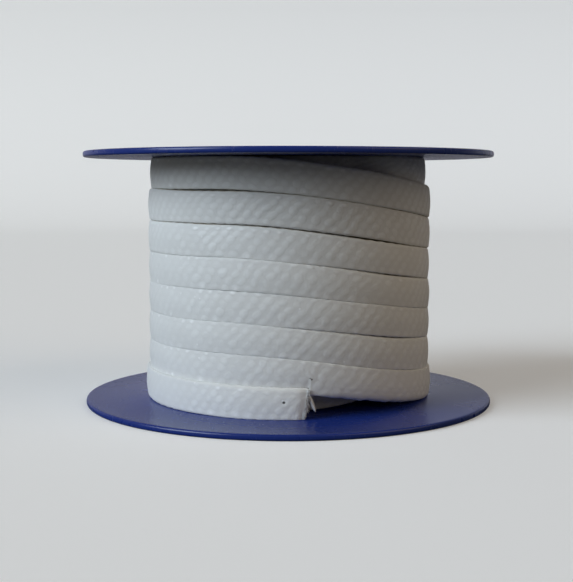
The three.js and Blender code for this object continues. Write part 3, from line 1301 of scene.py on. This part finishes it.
@dataclass
class FrayedEnd:
    """Loose yarn ends at the rope's cut end: a fine fringe, stubble, and a few pointed tufts.

    Runs are for even draws, and pairs are a mean and a spread. Lengths whose names end in mm
    are in millimetres, back is in degrees from the cut, and fall and outward are lengths down
    and out for each length along the rope.
    """

    winding: Winding
    seed: int = 7
    segments: int = 6
    sides: int = 4
    before_cut: float = 1.5
    margin: float = 1.0 * MM
    strands: int = 420
    stubble: int = 260
    share_range: Run = (0.03, 0.97)
    fringe_back: Run = (-0.1, 0.6)
    stubble_back: float = 0.3
    fringe_depth_mm: Run = (-0.05, 0.45)
    stubble_depth_mm: float = 3.4
    stubble_edge_mm: float = 0.6
    least_mm: float = 0.3
    length_shape: float = 2.0
    fringe_length_mm: float = 0.22
    stubble_length_mm: float = 0.24
    fringe_fall: Run = (0.3, 2.6)
    stubble_fall: Pair = (0.35, 0.35)
    outward: Pair = (0.10, 0.22)
    droop_range: Run = (0.0, 0.3)
    floor_mm: float = 0.1
    radius_mm: Run = (0.06, 0.14)
    taper: float = 0.75
    least_radius: float = 0.003
    yarns: int = 7
    yarn_mm: float = 0.10
    yarn_spread: float = 0.10
    root_spread: float = 2.2
    yarn_shorter: Run = (0.0, 0.45)
    tuft_back: float = 0.1 * MM
    tuft_flatness: float = 0.3
    tufts: tuple[Tuft, ...] = (
        Tuft(7.6, 10.9, 10.2, 5.4, 0.4, 1.06),
        Tuft(6.9, 9.6, 7.8, 6.5, 0.1, 0.38),
        Tuft(6.4, 7.6, 7.4, 4.8, 0.1, 0.42),
        Tuft(5.9, 5.0, 6.3, 3.0, 0.1, 0.36),
        Tuft(7.0, 13.6, 8.0, 11.2, 0.2, 0.34),
    )

    def strand_tubes(
        self, root: np.ndarray, tip: np.ndarray, droop: np.ndarray, thick: np.ndarray
    ) -> tuple[np.ndarray, ...]:
        """Tapered tubes along parabolas.

        A strand's centre at share t is root + (tip - root) t less droop t squared, and its
        radius goes as (1 - t)^0.75 (0.75 + t), widest a little before the middle.

        Args:
            root: Where each strand starts.
            tip: Where it would end without sagging.
            droop: How far its tip sags.
            thick: Radius at the root, across and up.

        Returns:
            Vertices, quads and the triangles of both ends.
        """
        share = np.linspace(0.0, 1.0, self.segments + 1)[None, :, None]
        centre = root[:, None] + (tip - root)[:, None] * share
        centre = centre - UP * droop[:, None, None] * share**2
        along = unit(tip - root)
        side = unit(np.cross(along, UP))
        up = np.cross(side, along)
        turn = (np.arange(self.sides) / self.sides * 2 * np.pi)[None, None, :, None]
        narrowing = np.clip(1.0 - share, self.least_radius, 1.0) ** self.taper
        radius = (narrowing * (self.taper + share))[..., None]
        ring = side[:, None, None] * np.cos(turn) * thick[:, None, None, :1]
        ring = ring + up[:, None, None] * np.sin(turn) * thick[:, None, None, 1:]
        points = centre[:, :, None] + ring * radius
        per = (self.segments + 1) * self.sides
        firsts = np.arange(len(root))[:, None, None] * per
        quads = closed_grid(self.segments + 1, self.sides)[None] + firsts
        near, far = np.array([[0, 1, 2], [0, 2, 3]]), np.array([[0, 2, 1], [0, 3, 2]])
        caps = np.concatenate([near, far + per - self.sides])[None] + firsts
        return points.reshape(-1, 3), quads.reshape(-1, 4), caps.reshape(-1, 3)

    def loose_ends(self, random: np.random.Generator) -> tuple[np.ndarray, ...]:
        """Fine strands: a fringe along the edge of the outer face, then stubble on the cut face.

        Args:
            random: Where the numbers are drawn from.

        Returns:
            Roots, tips without their sag, the sags, and the radii across and up.
        """
        winding = self.winding
        section = winding.section(np.array([winding.end - self.before_cut]))
        inside, outside, bottom, _, top = (float(value[0]) for value in section)
        out = spot(1.0, winding.cut_end, 0.0)
        along = np.cross(UP, out)
        count = self.strands + self.stubble
        fringe = np.arange(count) < self.strands
        share = random.uniform(*self.share_range, count)
        back = np.where(fringe, random.uniform(*self.fringe_back, count), self.stubble_back)
        face_depth = random.uniform(*self.fringe_depth_mm, count)
        cut_depth = np.abs(random.normal(0.0, self.stubble_depth_mm, count)) + self.stubble_edge_mm
        depth = np.where(fringe, face_depth, cut_depth) * MM
        edge = winding.cut_end + winding.cut_slant * (2.0 * share - 1.0)
        radius = np.clip(outside - depth, inside + self.margin, None)
        root = spot(radius, edge - back, bottom + (top - bottom) * share)
        fringe_length = random.gamma(self.length_shape, self.fringe_length_mm, count)
        stubble_length = random.gamma(self.length_shape, self.stubble_length_mm, count)
        length = (self.least_mm + np.where(fringe, fringe_length, stubble_length)) * MM
        fall = random.uniform(*self.fringe_fall, count)
        fall = np.where(fringe, fall, random.normal(*self.stubble_fall, count))
        aim = unit(along - UP * fall[:, None] + out * random.normal(*self.outward, (count, 1)))
        tip = root + aim * length[:, None]
        droop = length * random.uniform(*self.droop_range, count)
        tip[:, 2] = np.maximum(tip[:, 2], bottom + droop + self.floor_mm * MM)
        thick = np.repeat(random.uniform(*self.radius_mm, (count, 1)) * MM, 2, axis=1)
        aside = np.array([winding.offset, 0.0, 0.0])
        return root + aside, tip + aside, droop, thick

    def tuft_yarns(self, tuft: Tuft, random: np.random.Generator) -> tuple[np.ndarray, ...]:
        """The yarns of one tuft: a flat one along its middle, and finer, shorter ones about it.

        Args:
            tuft: The tuft.
            random: Where the numbers are drawn from.

        Returns:
            Roots, tips without their sag, the sags, and the radii across and up.
        """
        winding = self.winding
        outside = float(winding.radii(np.array([winding.end - self.before_cut]))[1][0])
        start = np.array(place_on_face(tuft.across * MM, tuft.high * MM, outside - self.margin))
        end = np.array([tuft.tip_across * MM, start[1] + self.tuft_back, tuft.tip_high * MM])
        wide = tuft.half_width * MM
        spread = random.normal(0.0, self.yarn_spread, (self.yarns, 3)) * wide
        shorter = random.uniform(*self.yarn_shorter, (self.yarns, 1))
        spread[0], shorter[0] = 0.0, 0.0
        girth = np.full((self.yarns, 2), self.yarn_mm * MM)
        girth[0] = (self.tuft_flatness * wide, wide)
        droop = np.full(self.yarns, tuft.sag * MM)
        return start + spread * self.root_spread, end + (start - end) * shorter, droop, girth

    def build(self) -> bpy.types.Object:
        """Builds the fringe, the stubble and the tufts as one piece.

        Returns:
            The new piece.
        """
        random = np.random.default_rng(self.seed)
        groups = [self.loose_ends(random)] + [self.tuft_yarns(tuft, random) for tuft in self.tufts]
        rows = map(np.concatenate, zip(*groups))
        return make_piece("frayed_yarn_ends", *self.strand_tubes(*rows))


@dataclass
class Flange:
    """A thin round disc with a rounded rim, a central bore and a spigot that plugs into the tube."""

    node: str
    piece: str
    facing: int
    seat_gap: float = 0.25 * MM
    rim_round: float = 0.9 * MM
    rim_points: int = 6
    bore: float = 11.0 * MM
    spigot_clearance: float = 0.3 * MM
    spigot_wall: float = 2.4 * MM
    core_wall: float = 3.0 * MM
    edge: float = 0.25 * MM
    facets: int = 320

    def profile(self) -> np.ndarray:
        """The closed profile of the disc and its spigot, walked anticlockwise.

        Returns:
            Rows of radius and height above the outer face.
        """
        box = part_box(self.node)
        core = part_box("core_tube")
        rim = box[1][0]
        tall = box[1][2] - box[0][2]
        thick = (core[0][2] if self.facing > 0 else box[1][2] - core[1][2]) - self.seat_gap
        outer = core[1][0] - self.core_wall - self.spigot_clearance
        inner = outer - self.spigot_wall
        r, e, bore = self.rim_round, self.edge, self.bore
        turn = np.linspace(0.0, np.pi / 2, self.rim_points)
        lower = np.stack([rim - r + r * np.sin(turn), r - r * np.cos(turn)], axis=1)
        upper = np.stack([rim - r + r * np.cos(turn), thick - r + r * np.sin(turn)], axis=1)
        rest = np.array([
            [rim - 2 * r, thick], [outer + e, thick], [outer, thick + e], [outer, tall - 3 * e],
            [outer - 3 * e, tall], [inner + e, tall], [inner, tall - e], [inner, thick + e],
            [inner - e, thick], [bore + e, thick], [bore, thick - e], [bore, e], [bore + e, 0.0],
            [bore + 4 * e, 0.0], [rim - 2 * r, 0.0],
        ])
        return np.concatenate([lower, upper, rest])

    def build(self) -> bpy.types.Object:
        """Turns the profile about the axis: each point goes round a circle of its radius.

        Returns:
            The new piece.
        """
        radius, height = self.profile().T
        if self.facing < 0:
            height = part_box(self.node)[1][2] - height
        turn = (np.arange(self.facets) / self.facets * 2 * np.pi)[:, None]
        level = np.broadcast_to(height, (self.facets, len(height)))
        points = np.stack([radius * np.cos(turn), radius * np.sin(turn), level], axis=-1)
        quads = closed_grid(self.facets, len(radius), ring=True)[:, :: self.facing]
        return make_piece(self.piece, points.reshape(-1, 3), quads)


@dataclass(frozen=True)
class Lamp:
    """A distant lamp: its angles to the left of the front and above the floor, spread, and power.

    The spread is the angle in degrees that it spans, which softens its shadows.
    """

    name: str
    side: float
    height: float
    spread: float
    power: float
    colour: Colour

    def build(self) -> None:
        """Adds the lamp to the scene."""
        side, height = math.radians(self.side), math.radians(self.height)
        level = math.cos(height)
        towards = Vector((-math.sin(side) * level, -math.cos(side) * level, math.sin(height)))
        data = bpy.data.lights.new(self.name, "SUN")
        data.energy = self.power
        data.angle = math.radians(self.spread)
        data.color = self.colour
        lamp = bpy.data.objects.new(self.name, data)
        lamp.rotation_euler = (-towards).to_track_quat("-Z", "Y").to_euler()
        bpy.context.scene.collection.objects.link(lamp)


@dataclass
class Studio:
    """The camera at the photograph's viewing angle, two soft lamps, and a pale floor that curves up.

    The floor's colours are what the camera sees, what it gives back to the reel at the left and
    at the right, and what the flanges mirror of the wall and of the floor.
    """

    eye: Point = (-0.74 * MM, -482.1 * MM, 90.5 * MM)
    pitch: float = 0.0937
    focal_pixels: float = 1155.0
    frame_long_side: float = 582.0
    sensor: float = 36.0
    clip_start: float = 10.0 * MM
    lamps: tuple[Lamp, ...] = (
        Lamp("key", 61.5, 27.0, 40.0, 2.29, (0.88, 1.0, 1.11)),
        Lamp("fill", -62.0, 34.0, 52.0, 0.41, (1.22, 1.0, 0.74)),
    )
    sky_colour: Colour = (1.0, 0.93, 0.84)
    sky_power: float = 0.125
    backdrop: Colour = (0.66, 0.68, 0.69)
    near: float = -2.5
    far: float = 1.6
    bend: float = 0.8
    bend_points: int = 24
    top: float = 3.0
    half_width: float = 4.0
    sink: float = 0.05 * MM
    floor_seen: Colour = (0.80, 0.80, 0.80)
    floor_glow: Colour = (0.20, 0.20, 0.20)
    floor_roughness: float = 0.9
    bounce_left: Colour = (0.36, 0.37, 0.31)
    bounce_right: Colour = (0.09, 0.085, 0.085)
    bounce_run: Run = (-0.7, 0.2)
    floor_mirrored: Colour = (0.14, 0.15, 0.18)
    wall_mirrored: Colour = (0.66, 0.64, 0.71)
    mirror_run: Run = (0.1, 0.9)

    def camera(self) -> None:
        """Sets the camera: it looks along +Y, tipped down a little."""
        data = bpy.data.cameras.new("view")
        data.sensor_width = self.sensor
        data.lens = self.focal_pixels * self.sensor / self.frame_long_side
        data.clip_start = self.clip_start
        camera = bpy.data.objects.new("view", data)
        camera.location = self.eye
        camera.rotation_euler = (math.pi / 2 - self.pitch, 0.0, 0.0)
        bpy.context.scene.collection.objects.link(camera)
        bpy.context.scene.camera = camera

    def floor_material(self) -> bpy.types.Material:
        """A matt white that the camera sees pale, and that lights the reel less than it seems to.

        Returns:
            The new material.
        """
        shader = Shader(
            "studio_floor", Roughness=self.floor_roughness, Specular_IOR_Level=0.0, Emission_Strength=1.0
        )
        place = shader.place()
        seen = shader.ray("Is Camera Ray")
        behind = shader.axis(place, "Y").step(*self.mirror_run)
        right = shader.axis(place, "X").step(*self.bounce_run)
        mirrored = shader.mix(behind, self.floor_mirrored, self.wall_mirrored)
        bounce = shader.mix(right, self.bounce_left, self.bounce_right)
        indirect = shader.mix(shader.ray("Is Glossy Ray"), bounce, mirrored)
        shader.feed("Base Color", shader.mix(seen, indirect, self.floor_seen))
        shader.feed("Emission Color", shader.mix(seen, (0.0, 0.0, 0.0), self.floor_glow))
        return shader.material

    def floor(self) -> None:
        """Lays a floor that rises behind the reel in a quarter circle to a wall."""
        turn = np.linspace(0.0, np.pi / 2, self.bend_points)
        curve = np.stack([self.far + self.bend * np.sin(turn), self.bend - self.bend * np.cos(turn)], axis=1)
        profile = np.concatenate([[[self.near, 0.0]], curve, [[self.far + self.bend, self.top]]])
        edges = (-self.half_width, self.half_width)
        points = np.array([[x, y, z - self.sink] for x in edges for y, z in profile])
        count = len(profile)
        first = np.arange(count - 1)
        quads = np.stack([first, first + count, first + count + 1, first + 1], axis=1)
        floor = make_piece("studio_floor", points, quads)
        floor.data.materials.append(self.floor_material())

    def world(self) -> None:
        """Sets a dim even sky, which the camera sees as a pale backdrop."""
        world = bpy.data.worlds.new("studio")
        world.use_nodes = True
        nodes = Nodes(world.node_tree)
        sky = nodes.mix(nodes.ray("Is Camera Ray"), dimmed(self.sky_colour, self.sky_power), self.backdrop)
        background = world.node_tree.nodes["Background"]
        background.inputs["Strength"].default_value = 1.0
        world.node_tree.links.new(sky.socket, background.inputs["Color"])
        bpy.context.scene.world = world
        bpy.context.scene.view_settings.view_transform = "Standard"

    def build(self) -> None:
        """Sets up everything that isn't part of the reel."""
        self.camera()
        for lamp in self.lamps:
            lamp.build()
        self.floor()
        self.world()


@dataclass(frozen=True)
class Blemishes:
    """The pin hole, painted shade in its pit and a painted highlight on its lip, a dark fleck with a tail,
    and a wedge of inner rope in painted shade.

    A place is a distance to the right of the middle and a height.
    """

    winding: Winding
    pin: Pair = (-1.75 * MM, 9.15 * MM)
    lip: Pair = (-2.20 * MM, 9.80 * MM)
    fleck: Pair = (8.65 * MM, 17.55 * MM)
    fleck_tail: Pair = (8.05 * MM, 18.0 * MM)
    wedge: Pair = (18.0 * MM, 8.0 * MM)
    depth: float = 3.0 * MM
    wedge_reach: Point = (17.0 * MM, 6.0 * MM, 9.0 * MM)
    lip_highlight_colour: Colour = (1.0, 1.0, 1.0)
    wedge_painted_shade: Colour = (0.34, 0.32, 0.25)

    def pin_hole(self) -> Point:
        """Where the pin hole is, on the bulging face of the last turn."""
        return place_on_face(*self.pin, self.winding.face_radius(Layer.OUTER) + self.winding.last_bulge)

    def marks(self) -> tuple[Mark, ...]:
        """The marks, in the order in which they are laid over each other.

        Returns:
            One mark for each blemish.
        """
        outer = self.winding.face_radius(Layer.OUTER)
        inner = self.winding.face_radius(Layer.INNER)
        lip = place_on_face(*self.lip, outer + self.winding.last_bulge)
        return (
            # Painted highlight on the raised lip of the pin hole, then painted shade in its pit.
            Mark(lip, (0.60 * MM, self.depth, 0.60 * MM), 1.0, self.lip_highlight_colour),
            Mark(self.pin_hole(), (0.75 * MM, self.depth, 0.65 * MM), 0.95),
            Mark(place_on_face(*self.fleck, outer), (0.48 * MM, self.depth, 0.42 * MM), 0.85),
            Mark(place_on_face(*self.fleck_tail, outer), (0.42 * MM, self.depth, 0.34 * MM), 0.6),
            # Painted shade: the inner rope in the wedge to the right of the cut end is painted darker and
            # olive.
            Mark(place_on_face(*self.wedge, inner), self.wedge_reach, 0.6, self.wedge_painted_shade),
        )


def main() -> None:
    """Builds the reel's pieces in order and reports each one."""
    logging.basicConfig(level=logging.INFO, format="%(name)s: %(message)s")
    Studio().build()

    plastic = PlasticFinish().build()
    for flange in (Flange("lower_flange", "lower_disc", 1), Flange("upper_flange", "upper_disc", -1)):
        piece = flange.build()
        piece.data.materials.append(plastic)
        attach(piece, "root")
        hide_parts(flange.node)
        log.info("%s: %d faces", piece.name, len(piece.data.polygons))

    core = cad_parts["core_tube"]
    for index in range(len(core.material_slots)):
        core.material_slots[index].material = BoardFinish().build()
    log.info("core_tube: dressed")

    winding = Winding()
    braid = Braid()
    blemishes = Blemishes(winding)
    packing = BraidFinish(braid, blemishes.marks()).build("packing_braid")
    for layer in Layer:
        piece = PackingRope(winding, braid, layer, blemishes.pin_hole()).build()
        piece.data.materials.append(packing)
        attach(piece, "root")
        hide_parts("packing")
        log.info("%s: %d faces", piece.name, len(piece.data.polygons))

    ends = FrayedEnd(winding).build()
    ends.data.materials.append(packing)
    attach(ends, "root")
    log.info("%s: %d faces", ends.name, len(ends.data.polygons))


if __name__ == "__main__":
    main()
